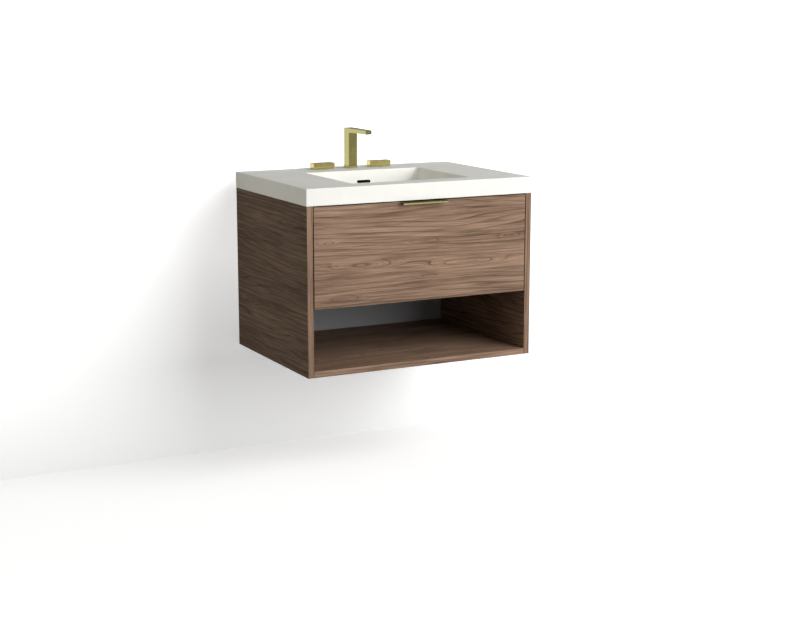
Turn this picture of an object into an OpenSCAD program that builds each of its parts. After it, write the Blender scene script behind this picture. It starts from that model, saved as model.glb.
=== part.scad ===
// Wall-hung bathroom vanity with an open shelf bay, one drawer, a thick top
// with a moulded-in basin, a pop-up drain and a three-piece square faucet.
// X runs along the wall, -Y points into the room and +Z is up. The wall face
// is Y = 0, the cabinet's underside is Z = 0 and its middle is X = 0.

/* [Cabinet] */
// Width over the two side panels
cabinet_w = 760; // [700:1:900]
// Depth from the wall to the cabinet's front
cabinet_d = 546; // [536:1:600]
// Height of the cabinet under the top
cabinet_h = 508; // [490:1:600]
// Thickness of the walnut panels
panel_t = 19; // [17:0.5:20]
// Clear height of the open shelf bay
bay_h = 187; // [150:1:200]
// Thickness of the dark back panel
back_t = 6; // [4:0.5:8]
// How far the back panel is let into each side panel
back_rabbet = 9; // [6:0.5:12]
// Height of the upper hanging rail
upper_rail_h = 100; // [60:1:120]
// Height of the lower hanging rail
lower_rail_h = 70; // [50:1:90]
// Depth of the stretcher behind the drawer front
stretcher_w = 36; // [30:1:38]
// Gap between the stretcher and the drawer front
stretcher_gap = 7; // [5:0.5:9]

/* [Wall fixing] */
// Distance between the wall screws along a rail
stud_pitch = 406.4; // [300:0.1:610]
// Diameter of the wall screw holes
wall_hole_d = 9; // [6:0.5:12]

/* [Dowels] */
// Diameter of the carcass dowels
dowel_d = 8; // [6:1:10]
// Depth of a dowel in the side panel
dowel_in_side = 12; // [8:1:14]
// Depth of a dowel in the panel that meets the side
dowel_in_panel = 18; // [12:1:25]
// Distance of the outer dowels from the panel's front and back
dowel_inset = 60; // [40:1:90]
// Distance of the rail dowels from the rail's top and bottom
rail_dowel_inset = 20; // [14:1:24]
// Diameter of the drawer box dowels
box_dowel_d = 6; // [4:1:6]
// Length of a drawer box dowel in each piece
box_dowel_half = 9; // [6:0.5:10]

/* [Drawer front] */
// Thickness of the drawer front
front_t = 19; // [16:0.5:22]
// Gap beside and above the drawer front
front_gap = 3; // [2:0.5:4]
// How far the drawer front hangs below the deck panel
front_drop = 2.5; // [1:0.5:6]
// Gap between the drawer front and the deck panel's edge
deck_gap = 2; // [1:0.5:4]

/* [Edge pull] */
// Length of the edge pull
pull_w = 151; // [90:1:250]
// How far the pull stands out of the drawer front
pull_reach = 20; // [12:1:28]
// Height of the turned-down lip
pull_lip = 7; // [5:0.5:12]
// Height of the flange behind the drawer front
pull_flange = 20; // [14:1:26]
// Thickness of the pull's plate
pull_t = 1.6; // [1:0.1:2.5]
// Inner radius of the bend between plate and lip
pull_bend_in = 0.8; // [0.4:0.1:1.4]
// Distance of the outer pull screws from the pull's ends
pull_screw_inset = 16; // [10:1:30]

/* [Drawer box] */
// Height of the drawer box
box_h = 160; // [110:1:165]
// Thickness of the box sides, sub-front and back
box_t = 15; // [12:0.5:16]
// Thickness of the boards round the trap notch
notch_t = 12; // [9:0.5:15]
// Thickness of the drawer bottom
box_floor_t = 9; // [6:0.5:10]
// Depth of the groove that holds the drawer bottom
groove_in = 6; // [4:0.5:8]
// Height of the drawer bottom above the box's lower edge
groove_up = 10; // [8:0.5:14]
// Gap between the box and the deck panel
box_lift = 11; // [6:0.5:16]
// Gap between the box and the wall
box_back_gap = 67; // [45:1:80]
// Width of the notch that clears the trap
notch_w = 180; // [130:1:240]
// Distance from the drain's middle to the notch's front board
notch_ahead = 70; // [50:1:90]

/* [Drawer slides] */
// Length of every slide member
slide_len = 450; // [400:1:455]
// Height of the outer member
slide_h = 45; // [42:0.5:50]
// Gap that the slide fills beside the box
slide_w = 12.7; // [12.5:0.1:14]
// Thickness of the slide's steel
slide_t = 1.2; // [1:0.1:1.3]
// Height of the slide's middle above the box's lower edge
slide_up = 64; // [40:1:90]
// Diameter of the steel balls
ball_d = 3.2; // [2.8:0.1:3.6]
// Balls in each row
balls = 8; // [4:1:10]
// Length of a ball cage
cage_len = 210; // [170:1:220]
// Thickness of a ball cage
cage_t = 0.4; // [0.3:0.1:0.5]
// Travel of the drawer
drawer_travel = 430; // [300:1:430]
// Distance of the outer slide screws from the member's ends
slide_screw_inset = 40; // [25:1:80]

/* [Vanity top] */
// Width of the top
top_w = 762; // [702:1:902]
// Depth of the top
top_d = 546; // [536:1:600]
// Height of the top's edge
top_h = 50.8; // [38:0.1:60]
// Thickness of the top above its hollow underside
slab_t = 20; // [15:0.5:25]
// Thickness of the turned-down edge
skirt_t = 20; // [15:0.5:30]

/* [Basin] */
// Width of the basin's rim
basin_w = 398; // [340:1:480]
// Depth of the basin's rim from front to back
basin_d = 336; // [300:1:340]
// Width of the strip in front of the basin
basin_ahead = 72; // [68:1:90]
// Depth of the water at the drain
basin_deep = 127; // [100:1:128]
// Fall of the basin's floor towards the drain
floor_fall = 6; // [3:0.5:10]
// How far the walls lean in above the floor curve
wall_draft = 13; // [4:1:20]
// Radius of the curve between wall and floor
floor_curve_r = 36; // [20:1:44]
// Corner radius at the rim
rim_corner_r = 10; // [5:1:30]
// Corner radius at the foot of the walls
wall_corner_r = 42; // [30:1:50]
// Thickness of the basin's shell
basin_wall = 12; // [9:0.5:13]
// Width of the overflow slot
overflow_w = 48; // [30:1:60]
// Height of the overflow slot
overflow_h = 9; // [6:0.5:12]
// Depth of the overflow slot's middle below the rim
overflow_down = 36; // [34:0.5:42]
// Depth of the overflow duct behind the basin
duct_gap = 10; // [6:0.5:12]
// Thickness of the duct's wall
duct_wall = 6; // [4:0.5:8]

/* [Drain] */
// Diameter of the drain hole
drain_hole_d = 45; // [44:0.5:48]
// Outer diameter of the drain's flange
drain_flange_d = 64; // [60:1:70]
// Thickness of the drain's flange
drain_flange_t = 2.5; // [2:0.1:4]
// Outer diameter of the threaded drain tube
drain_tube_d = 43; // [42:0.5:43.5]
// Inner diameter of the drain tube
drain_bore_d = 38; // [36:0.5:39]
// Length of the drain tube below its boss
drain_tube_below = 44; // [36:1:60]
// Diameter of the seat for the gasket
drain_boss_d = 78; // [72:1:90]
// Outer diameter of the waste tailpiece
tail_d = 31.75; // [30:0.05:34]
// Wall of the waste tailpiece
tail_wall = 1.2; // [0.8:0.1:2]
// Length of the tailpiece below the drain tube
tail_below = 50; // [40:1:90]
// Depth of the tailpiece in the drain tube
tail_in = 14; // [10:1:16]
// Diameter of the tailpiece's threaded end
tail_thread_d = 33.2; // [33:0.1:35]
// Diameter of the stopper's stem
stem_d = 8; // [6:0.5:10]
// Lift of the stopper when it is open
stopper_lift = 8; // [4:0.5:10]

/* [Spout] */
// Distance from the wall to the faucet holes' middle
faucet_back = 48; // [42:1:56]
// Diameter of the faucet holes in the top
faucet_hole_d = 35; // [32:0.5:38]
// Width of the spout's column
spout_w = 30; // [28:0.5:34]
// Depth of the spout's column
spout_d = 37; // [32:0.5:40]
// Height of the spout above the top
spout_h = 129; // [100:1:180]
// Distance from the column's middle to the spout's tip
spout_reach = 134; // [110:1:160]
// Height of the arm at the column
arm_h = 14.5; // [13.5:0.5:20]
// Height of the arm at its tip
arm_tip_h = 13; // [12:0.5:14]
// Width of the arm at its tip
arm_tip_w = 21; // [20:0.5:24]
// Height of the spout's base flange
spout_base_h = 8; // [4:0.5:12]
// How far the base flange stands out round the column
spout_base_lip = 1.2; // [0.5:0.1:3]
// Diameter of the water way
water_d = 9; // [6:0.5:10]
// Diameter of the aerator
aerator_d = 15; // [13:0.5:16]
// Height of the aerator in the arm
aerator_in = 5; // [4:0.5:5.5]
// How far the aerator stands out below the arm
aerator_out = 1; // [0.5:0.1:2]
// Outer diameter of the spout's threaded shank
shank_d = 22; // [18:0.5:24]

/* [Handles] */
// Distance between the two handles' axes
handle_pitch = 203.2; // [180:0.1:300]
// Length of a handle
handle_w = 75; // [60:1:90]
// Depth of a handle
handle_d = 34; // [30:0.5:40]
// Height of a handle
handle_h = 15.5; // [13:0.5:20]
// Corner radius of a handle, seen from above
handle_corner_r = 3.5; // [1:0.5:8]
// Height of the plinth under a handle
plinth_h = 4; // [2:0.5:8]
// How far the plinth stands back from the handle's outline
plinth_set = 2; // [1:0.5:5]
// Diameter of the valve body in the top's hole
valve_d = 32; // [28:0.5:34]
// Length of the valve body below the top's surface
valve_len = 62; // [52:1:75]
// Diameter of the valve's stem
valve_stem_d = 10; // [8:0.5:12]
// Depth of the stem in the handle
stem_in_handle = 9; // [6:0.5:11]
// Depth of the stem in the valve body
stem_in_valve = 16; // [10:1:24]
// Diameter of the threaded water inlet
inlet_d = 20.95; // [18:0.05:22]
// Length of the threaded water inlet
inlet_len = 16; // [12:1:22]
// Diameter of the valve's outlet to the spout
outlet_d = 12; // [10:0.5:14]
// Width across the flats of the nuts under the top
nut_af = 46; // [42:1:50]
// Height of the nuts under the top
nut_h = 8; // [6:0.5:12]
// Thickness of the rubber washers under the top
washer_t = 2; // [1.5:0.1:3]

/* [Screws] */
// Diameter of the slide and pull screws
screw_d = 4; // [3:0.5:4.5]
// Diameter of a screw's head
screw_head_d = 8; // [7:0.5:9]
// Height of the flat heads inside the slides
flat_head_h = 0.7; // [0.5:0.1:0.8]
// Length of a slide screw in the wood
slide_screw_len = 12; // [8:0.5:13]
// Length of a pull screw in the drawer front
pull_screw_len = 12; // [8:0.5:14]
// Height of the round heads
round_head_h = 2.4; // [2:0.1:3]
// Length of a front fixing screw in the drawer front
front_screw_in = 13; // [9:0.5:14]

/* [Fits] */
// Gap round a dowel or a screw in its hole
hole_gap = 0.1; // [0.05:0.05:0.2]
// Gap round a board in its groove or rabbet
board_gap = 0.2; // [0.1:0.1:0.4]
// Gap round a turning or sliding shaft
running_gap = 0.05; // [0.02:0.01:0.1]
// Gap between pieces that pass each other
passing_gap = 0.3; // [0.3:0.05:0.5]

/* [Hidden] */
$fn = 48;
corner_steps = 6;
curve_steps = 5;
cut = 1;

walnut = [0.55, 0.46, 0.39];
back_grey = [0.23, 0.23, 0.23];
solid_white = [0.94, 0.93, 0.91];
brass = [0.70, 0.62, 0.37];
steel = [0.72, 0.73, 0.75];
birch = [0.83, 0.74, 0.60];
beech = [0.78, 0.62, 0.44];
rubber_black = [0.10, 0.10, 0.10];
zinc = [0.78, 0.72, 0.52];

// Cabinet
inner_x = cabinet_w / 2 - panel_t;
front_y = -cabinet_d;
deck_z = panel_t + bay_h;
deck_top_z = deck_z + panel_t;
deck_front_y = front_y + front_t + deck_gap;
stretcher_y = front_y + front_t + stretcher_gap;
upper_hole_z = cabinet_h - upper_rail_h / 2;
lower_hole_z = deck_top_z + lower_rail_h / 2;
shelf_dowel_ys = [front_y + dowel_inset, (front_y - back_t) / 2, -back_t - dowel_inset];
carcass_dowel_places = concat(
    [for (y = shelf_dowel_ys) [y, panel_t / 2]],
    [for (y = shelf_dowel_ys) [y, deck_z + panel_t / 2]],
    [for (z = [rail_dowel_inset, upper_rail_h - rail_dowel_inset])
        [-panel_t / 2, cabinet_h - upper_rail_h + z]],
    [for (z = [rail_dowel_inset, lower_rail_h - rail_dowel_inset])
        [-panel_t / 2, deck_top_z + z]],
    [[stretcher_y + stretcher_w / 2, cabinet_h - panel_t / 2]]
);

// Drawer
front_half_w = inner_x - front_gap;
front_z = deck_z - front_drop;
front_top_z = cabinet_h - front_gap;
front_back_y = front_y + front_t;
box_z = deck_top_z + box_lift;
box_half_w = inner_x - slide_w;
box_back_y = -box_back_gap;
box_len = box_back_y - front_back_y;
floor_z = box_z + groove_up;
floor_top_z = floor_z + box_floor_t;
top_z = cabinet_h + top_h;
basin_y = -top_d + basin_ahead + basin_d / 2;
notch_front_y = basin_y - notch_ahead;
box_dowel_inset = 24;
box_dowel_zs = [floor_top_z + box_dowel_inset, box_z + box_h - box_dowel_inset];
front_screw_xs = [-0.8, -0.3, 0.3, 0.8] * (box_half_w - box_t);
front_screw_z = box_z + box_h / 2;

// Slides, measured from the side panel's inner face
slide_y = front_back_y + stretcher_gap;
slide_z = box_z + slide_up;
ball_gap = ball_d + 2 * passing_gap / 3;
outer_half_h = slide_h / 2;
middle_half_h = outer_half_h - slide_t - ball_gap;
drawer_half_h = middle_half_h - slide_t - ball_gap;
outer_cage_u = slide_t + flat_head_h + passing_gap;
middle_u = outer_cage_u + cage_t + passing_gap;
inner_cage_u = middle_u + slide_t + passing_gap;
drawer_lip_u = inner_cage_u + cage_t + passing_gap;
channel_end_u = slide_w - slide_t - 3 * passing_gap;
ball_u = (drawer_lip_u + channel_end_u) / 2;
outer_ball_v = outer_half_h - slide_t - ball_gap / 2;
inner_ball_v = middle_half_h - slide_t - ball_gap / 2;
slide_screw_ys = [
    slide_y + slide_screw_inset,
    slide_y + slide_len / 2,
    slide_y + slide_len - slide_screw_inset
];
// Each cage starts where the members still overlap with the drawer open.
cage_y = slide_y + slide_len - drawer_travel / 2 + drawer_travel / 4
    - (slide_len - drawer_travel / 2 + cage_len) / 2;

// Basin, duct and drain
slab_z = top_z - slab_t;
basin_floor_z = top_z - basin_deep;
basin_under_z = basin_floor_z - basin_wall;
duct_z = basin_under_z - duct_gap;
boss_z = duct_z - duct_wall;
overflow_z = top_z - overflow_down;
rim_back_y = basin_y + basin_d / 2;
duct_y = rim_back_y + basin_wall - wall_draft * overflow_down / (basin_deep - floor_curve_r);
corner_growth = 20;
seat_cone_h = 2 * drain_flange_t;
seat_cone_w = (drain_tube_d - drain_bore_d) / 2 + 0.5;
flange_edge_h = 1;
stopper_gap = passing_gap;
cap_cone_h = 3;
seal_t = 2.4;
stem_foot = 4;
hub_wall = 2.5;
rib_t = 3;
side_slot_w = 12;
spider_down = 30;
spider_h = 8;
spider_z = basin_floor_z - spider_down;
drain_tube_z = boss_z - drain_tube_below;
gasket_t = 4;
drain_nut_h = 10;
drain_nut_wall = 7;

// Faucet
faucet_y = -faucet_back;
column_front_y = faucet_y - spout_d / 2;
tip_y = faucet_y - spout_reach;
column_z = top_z + spout_base_h;
spout_top_z = top_z + spout_h;
aerator_y = tip_y + arm_tip_w / 2 + 1;
aerator_z = spout_top_z - arm_tip_h;
handle_z = top_z + plinth_h + passing_gap;
plinth_bore_d = valve_d - 6;
shank_in_spout = 12;
shank_below_nut = 12;
outlet_out = 12;

// Rounded rectangle made of straight sides and true quarter rounds
module rounded_rect(w, d, r) {
    square([w - 2 * r, d], center = true);
    square([w, d - 2 * r], center = true);
    for (x = [-1, 1], y = [-1, 1]) {
        translate([x * (w / 2 - r), y * (d / 2 - r)]) circle(r = r);
    }
}

// Cylinder along X from x0, centred at [y, z]
module x_rod(d, len, x0, y, z) {
    translate([x0, y, z]) rotate([0, 90, 0]) cylinder(d = d, h = len);
}

// Cylinder along Y from y0, centred at [x, z]
module y_rod(d, len, x, y0, z) {
    translate([x, y0, z]) rotate([-90, 0, 0]) cylinder(d = d, h = len);
}

// Board given by its lowest and highest corners
module board(low, high) {
    translate(low) cube(high - low);
}

// Hexagonal prism across its flats, standing on z0
module hexagon(af, h, z0) {
    translate([0, 0, z0]) cylinder(d = af / cos(30), h = h, $fn = 6);
}

module at_left() {
    mirror([1, 0, 0]) children();
}

// ---- Carcass ----

module carcass_dowel_holes(side) {
    reach = (side ? dowel_in_side : dowel_in_panel) + hole_gap;
    for (p = carcass_dowel_places, s = [-1, 1]) {
        start = s * inner_x - (((s > 0) == side) ? cut : reach);
        x_rod(dowel_d + 2 * hole_gap, reach + cut, start, p[0], p[1]);
    }
}

module side_panel() {
    color(walnut)
    difference() {
        board([inner_x, front_y, 0], [cabinet_w / 2, 0, cabinet_h]);
        board([inner_x - cut, -back_t, -cut],
            [inner_x + back_rabbet + board_gap, cut, deck_top_z]);
        carcass_dowel_holes(true);
        for (y = slide_screw_ys) {
            x_rod(screw_d + 2 * hole_gap, slide_screw_len + hole_gap + cut, inner_x - cut, y, slide_z);
        }
    }
}

module side_panel_left() {
    at_left() side_panel();
}

module side_panel_right() {
    side_panel();
}

module bottom_panel() {
    color(walnut)
    difference() {
        board([-inner_x, front_y, 0], [inner_x, -back_t, panel_t]);
        carcass_dowel_holes(false);
    }
}

module deck_panel() {
    color(walnut)
    difference() {
        board([-inner_x, deck_front_y, deck_z], [inner_x, -back_t, deck_top_z]);
        carcass_dowel_holes(false);
    }
}

module back_panel() {
    half_w = inner_x + back_rabbet;
    color(back_grey)
    board([-half_w, -back_t, 0], [half_w, 0, deck_top_z]);
}

module hanging_rail(z, h, hole_z) {
    color(birch)
    difference() {
        board([-inner_x, -panel_t, z], [inner_x, 0, z + h]);
        carcass_dowel_holes(false);
        for (s = [-1, 1]) {
            y_rod(wall_hole_d, panel_t + 2 * cut, s * stud_pitch / 2, -panel_t - cut, hole_z);
        }
    }
}

module upper_hanging_rail() {
    hanging_rail(cabinet_h - upper_rail_h, upper_rail_h, upper_hole_z);
}

module lower_hanging_rail() {
    hanging_rail(deck_top_z, lower_rail_h, lower_hole_z);
}

module front_stretcher() {
    color(birch)
    difference() {
        board([-inner_x, stretcher_y, cabinet_h - panel_t],
            [inner_x, stretcher_y + stretcher_w, cabinet_h]);
        carcass_dowel_holes(false);
    }
}

module carcass_dowels() {
    color(beech)
    for (p = carcass_dowel_places, s = [-1, 1]) {
        start = s * inner_x - (s > 0 ? dowel_in_panel : dowel_in_side);
        x_rod(dowel_d, dowel_in_side + dowel_in_panel, start, p[0], p[1]);
    }
}

// ---- Drawer box and front ----

module drawer_front() {
    color(walnut)
    difference() {
        board([-front_half_w, front_y, front_z], [front_half_w, front_back_y, front_top_z]);
        board([-pull_w / 2 - board_gap, front_y - cut, front_top_z - pull_t],
            [pull_w / 2 + board_gap, front_back_y + cut, front_top_z + cut]);
        for (x = pull_screw_xs()) {
            y_rod(screw_d + 2 * hole_gap, pull_screw_len + hole_gap + cut, x,
                front_back_y - pull_screw_len - hole_gap, pull_screw_z());
        }
        for (x = front_screw_xs) {
            y_rod(screw_d + 2 * hole_gap, front_screw_in + hole_gap + cut, x,
                front_back_y - front_screw_in - hole_gap, front_screw_z);
        }
    }
}

function pull_screw_xs() = [
    -pull_w / 2 + pull_screw_inset, 0, pull_w / 2 - pull_screw_inset
];

function pull_screw_z() = front_top_z - pull_flange + screw_head_d / 2 + 2;

// Bent plate: lip in front, flat on the drawer front's edge, flange behind it
module edge_pull() {
    lip_y = front_y - pull_reach;
    pull_bend_r = pull_bend_in + pull_t;
    color(brass)
    difference() {
        translate([-pull_w / 2, 0, 0]) rotate([90, 0, 90]) linear_extrude(pull_w) {
            translate([lip_y + pull_bend_r, front_top_z - pull_t])
                square([pull_reach + front_t + pull_t - pull_bend_r, pull_t]);
            translate([lip_y, front_top_z - pull_lip])
                square([pull_t, pull_lip - pull_bend_r]);
            translate([front_back_y, front_top_z - pull_flange])
                square([pull_t, pull_flange]);
            intersection() {
                translate([lip_y, front_top_z - pull_bend_r]) square(pull_bend_r);
                translate([lip_y + pull_bend_r, front_top_z - pull_bend_r])
                    difference() {
                        circle(r = pull_bend_r);
                        circle(r = pull_bend_in);
                    }
            }
        }
        for (x = pull_screw_xs()) {
            y_rod(screw_d + 2 * hole_gap, pull_t + 2 * cut, x, front_back_y - cut, pull_screw_z());
        }
    }
}

// Screw along Y: point towards -Y, head seated at seat_y
module front_screw(len, x, seat_y, z) {
    y_rod(screw_d, len, x, seat_y - len, z);
    y_rod(screw_head_d, round_head_h, x, seat_y, z);
}

module pull_screws() {
    color(brass)
    for (x = pull_screw_xs()) {
        front_screw(pull_screw_len + pull_t, x, front_back_y + pull_t, pull_screw_z());
    }
}

module box_dowel_holes() {
    inside_x = box_half_w - box_t;
    for (s = [-1, 1], z = box_dowel_zs, y = box_dowel_ys()) {
        x_rod(box_dowel_d + 2 * hole_gap, 2 * box_dowel_half + 2 * hole_gap,
            s * inside_x - box_dowel_half - hole_gap, y, z);
    }
}

function box_dowel_ys() = [front_back_y + box_t / 2, box_back_y - box_t / 2];

module drawer_dowels() {
    inside_x = box_half_w - box_t;
    color(beech)
    for (s = [-1, 1], z = box_dowel_zs, y = box_dowel_ys()) {
        x_rod(box_dowel_d, 2 * box_dowel_half, s * inside_x - box_dowel_half, y, z);
    }
}

module drawer_side() {
    color(birch)
    difference() {
        board([box_half_w - box_t, front_back_y, box_z],
            [box_half_w, box_back_y, box_z + box_h]);
        board([box_half_w - box_t - cut, front_back_y - cut, floor_z],
            [box_half_w - box_t + groove_in + board_gap, box_back_y + cut, floor_top_z]);
        box_dowel_holes();
        for (y = slide_screw_ys) {
            x_rod(screw_d + 2 * hole_gap, slide_screw_len + hole_gap + cut,
                box_half_w - slide_screw_len - hole_gap, y, slide_z);
        }
    }
}

module drawer_side_left() {
    at_left() drawer_side();
}

module drawer_side_right() {
    drawer_side();
}

module drawer_subfront() {
    half_w = box_half_w - box_t;
    color(birch)
    difference() {
        board([-half_w, front_back_y, box_z], [half_w, front_back_y + box_t, box_z + box_h]);
        board([-half_w - cut, front_back_y + box_t - groove_in - board_gap, floor_z],
            [half_w + cut, front_back_y + box_t + cut, floor_top_z]);
        box_dowel_holes();
        for (x = front_screw_xs) {
            y_rod(screw_d + 2 * hole_gap, box_t + 2 * cut, x, front_back_y - cut, front_screw_z);
        }
    }
}

module front_fixing_screws() {
    color(steel)
    for (x = front_screw_xs) {
        front_screw(front_screw_in + box_t, x, front_back_y + box_t, front_screw_z);
    }
}

module drawer_bottom() {
    half_w = box_half_w - box_t + groove_in;
    color(birch)
    difference() {
        board([-half_w, front_back_y + box_t - groove_in, floor_z],
            [half_w, box_back_y, floor_top_z]);
        board([-notch_w / 2, notch_front_y, floor_z - cut],
            [notch_w / 2, box_back_y + cut, floor_top_z + cut]);
    }
}

module drawer_back() {
    color(birch)
    difference() {
        board([notch_w / 2 + notch_t, box_back_y - box_t, floor_top_z],
            [box_half_w - box_t, box_back_y, box_z + box_h]);
        box_dowel_holes();
    }
}

module drawer_back_left() {
    at_left() drawer_back();
}

module drawer_back_right() {
    drawer_back();
}

module notch_side() {
    color(birch)
    board([notch_w / 2, notch_front_y - notch_t, floor_top_z],
        [notch_w / 2 + notch_t, box_back_y, box_z + box_h]);
}

module notch_side_left() {
    at_left() notch_side();
}

module notch_side_right() {
    notch_side();
}

module notch_front() {
    color(birch)
    board([-notch_w / 2, notch_front_y - notch_t, floor_top_z],
        [notch_w / 2, notch_front_y, box_z + box_h]);
}

// ---- Drawer slides, drawn for the right side ----

// Channel section: web from u0 to u0 + slide_t, lips from the web to u1
module channel_section(u0, u1, half_h) {
    web_low = min(u0, u1);
    difference() {
        translate([web_low, -half_h]) square([abs(u1 - u0), 2 * half_h]);
        translate([u1 > u0 ? u0 + slide_t : u1 - cut, -half_h + slide_t])
            square([abs(u1 - u0) - slide_t + cut, 2 * (half_h - slide_t)]);
    }
}

// Sweeps a (u, v) section along Y; u runs inwards from the side panel
module along_slide(y0, len) {
    translate([inner_x, y0 + len, slide_z]) rotate([90, 0, 0]) linear_extrude(len)
        mirror([1, 0, 0]) children();
}

module cabinet_rail() {
    color(steel)
    difference() {
        along_slide(slide_y, slide_len) channel_section(0, channel_end_u, outer_half_h);
        for (y = slide_screw_ys) {
            x_rod(screw_d + 2 * hole_gap, slide_t + 2 * cut, inner_x - slide_t - cut, y, slide_z);
        }
    }
}

module cabinet_rail_left() {
    at_left() cabinet_rail();
}

module cabinet_rail_right() {
    cabinet_rail();
}

module middle_rail() {
    color(steel)
    along_slide(slide_y, slide_len) channel_section(middle_u, channel_end_u, middle_half_h);
}

module middle_rail_left() {
    at_left() middle_rail();
}

module middle_rail_right() {
    middle_rail();
}

module drawer_rail() {
    color(steel)
    difference() {
        along_slide(slide_y, slide_len) channel_section(slide_w, drawer_lip_u, drawer_half_h);
        for (y = slide_screw_ys) {
            x_rod(screw_d + 2 * hole_gap, slide_t + 2 * cut, box_half_w - cut, y, slide_z);
        }
    }
}

module drawer_rail_left() {
    at_left() drawer_rail();
}

module drawer_rail_right() {
    drawer_rail();
}

module cabinet_rail_screws() {
    color(steel)
    for (s = [0, 1], y = slide_screw_ys) {
        mirror([s, 0, 0]) {
            x_rod(screw_d, slide_screw_len + slide_t, inner_x - slide_t, y, slide_z);
            x_rod(screw_head_d, flat_head_h, inner_x - slide_t - flat_head_h, y, slide_z);
        }
    }
}

module drawer_rail_screws() {
    color(steel)
    for (s = [0, 1], y = slide_screw_ys) {
        mirror([s, 0, 0]) {
            x_rod(screw_d, slide_screw_len + slide_t, box_half_w - slide_screw_len, y, slide_z);
            x_rod(screw_head_d, flat_head_h, box_half_w + slide_t, y, slide_z);
        }
    }
}

// Bent strip with a row of balls above and below
module ball_cage(web_u, ball_v) {
    pitch = cage_len / balls;
    ball_ys = [for (i = [0:balls - 1]) cage_y + pitch * (i + 0.5)];
    strip_end_u = ball_u + ball_d / 2 + 2 * cage_t;
    color(zinc)
    difference() {
        along_slide(cage_y, cage_len) {
            translate([web_u, -ball_v - cage_t / 2]) square([cage_t, 2 * ball_v + cage_t]);
            for (s = [-1, 1]) {
                translate([web_u, s * ball_v - cage_t / 2]) square([strip_end_u - web_u, cage_t]);
            }
        }
        for (y = ball_ys) {
            translate([inner_x - ball_u, y, slide_z - ball_v - cage_t])
                cylinder(d = ball_d + 2 * hole_gap, h = 2 * (ball_v + cage_t));
        }
    }
    color(steel)
    for (y = ball_ys, s = [-1, 1]) {
        translate([inner_x - ball_u, y, slide_z + s * ball_v]) sphere(d = ball_d);
    }
}

module outer_cage_left() {
    at_left() ball_cage(outer_cage_u, outer_ball_v);
}

module outer_cage_right() {
    ball_cage(outer_cage_u, outer_ball_v);
}

module inner_cage_left() {
    at_left() ball_cage(inner_cage_u, inner_ball_v);
}

module inner_cage_right() {
    ball_cage(inner_cage_u, inner_ball_v);
}

// ---- Vanity top with its basin ----

// Outline of the basin at one depth: four rounded corners, counter-clockwise
function basin_ring(w, d, r, z) = [
    for (q = [0:3]) for (i = [0:corner_steps])
        let (
            a = 90 * (q + i / corner_steps),
            sx = (q == 0 || q == 3) ? 1 : -1,
            sy = (q < 2) ? 1 : -1
        )
        [sx * (w / 2 - r) + r * cos(a), basin_y + sy * (d / 2 - r) + r * sin(a), z]
];

// Rings from the drain up to the rim, grown outwards by the shell's thickness
function basin_rings(grow) = concat(
    [basin_ring(drain_boss_d + 2 * grow, drain_boss_d + 2 * grow,
        drain_boss_d / 2 + grow, basin_floor_z - grow)],
    [for (i = [0:curve_steps])
        let (
            a = 90 - 90 * i / curve_steps,
            inset = wall_draft + floor_curve_r * (1 - cos(a))
        )
        basin_ring(basin_w - 2 * inset + 2 * grow, basin_d - 2 * inset + 2 * grow,
            wall_corner_r + corner_growth * sin(a) + grow,
            basin_floor_z + floor_fall + floor_curve_r * (1 - sin(a)) - grow)],
    [basin_ring(basin_w + 2 * grow, basin_d + 2 * grow, rim_corner_r + grow,
        grow > 0 ? slab_z + cut : top_z)],
    grow > 0 ? [] : [basin_ring(basin_w, basin_d, rim_corner_r, top_z + cut)]
);

// Closed skin over a stack of rings that hold equally many points
module loft(rings) {
    n = len(rings[0]);
    m = len(rings);
    sides = [for (k = [0:m - 2]) for (i = [0:n - 1])
        let (a = k * n + i, b = k * n + (i + 1) % n)
        each [[a, b + n, b], [a, a + n, b + n]]];
    bottom = [for (i = [0:n - 1]) i];
    top = [for (i = [n - 1:-1:0]) (m - 1) * n + i];
    polyhedron([for (ring = rings) each ring], concat(sides, [bottom, top]));
}

// Side view of the overflow duct, drawn as [y, z] and swept along X
module duct_run(w, points) {
    translate([-w / 2, 0, 0]) rotate([90, 0, 90]) linear_extrude(w) polygon(points);
}

module vanity_top() {
    half_w = top_w / 2;
    duct_back = duct_y + duct_gap;
    color(solid_white)
    difference() {
        union() {
            difference() {
                board([-half_w, -top_d, cabinet_h], [half_w, 0, top_z]);
                board([-half_w + skirt_t, -top_d + skirt_t, cabinet_h - cut],
                    [half_w - skirt_t, -skirt_t, slab_z]);
            }
            loft(basin_rings(basin_wall));
            duct_run(overflow_w + 2 * duct_wall, [
                [basin_y, boss_z], [duct_back + duct_wall, boss_z],
                [duct_back + duct_wall, slab_z + cut], [basin_y, slab_z + cut]
            ]);
            translate([0, basin_y, boss_z])
                cylinder(d = drain_boss_d, h = basin_floor_z - boss_z - cut);
        }
        loft(basin_rings(0));
        duct_run(overflow_w, [
            [basin_y, duct_z], [duct_back, duct_z],
            [duct_back, overflow_z + overflow_h / 2], [duct_y, overflow_z + overflow_h / 2],
            [duct_y, basin_under_z], [basin_y, basin_under_z]
        ]);
        overflow_slot(rim_back_y - wall_draft - cut, duct_y + cut);
        translate([0, basin_y, boss_z - cut])
            cylinder(d = drain_hole_d, h = basin_floor_z - boss_z + 2 * cut);
        for (x = [-handle_pitch / 2, 0, handle_pitch / 2]) {
            translate([x, faucet_y, slab_z - cut])
                cylinder(d = faucet_hole_d, h = slab_t + 2 * cut);
        }
    }
}

// Slot with round ends through the basin's back wall
module overflow_slot(y0, y1) {
    straight = overflow_w - overflow_h;
    board([-straight / 2, y0, overflow_z - overflow_h / 2],
        [straight / 2, y1, overflow_z + overflow_h / 2]);
    for (s = [-1, 1]) {
        y_rod(overflow_h, y1 - y0, s * straight / 2, y0, overflow_z);
    }
}

// ---- Drain ----

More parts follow.
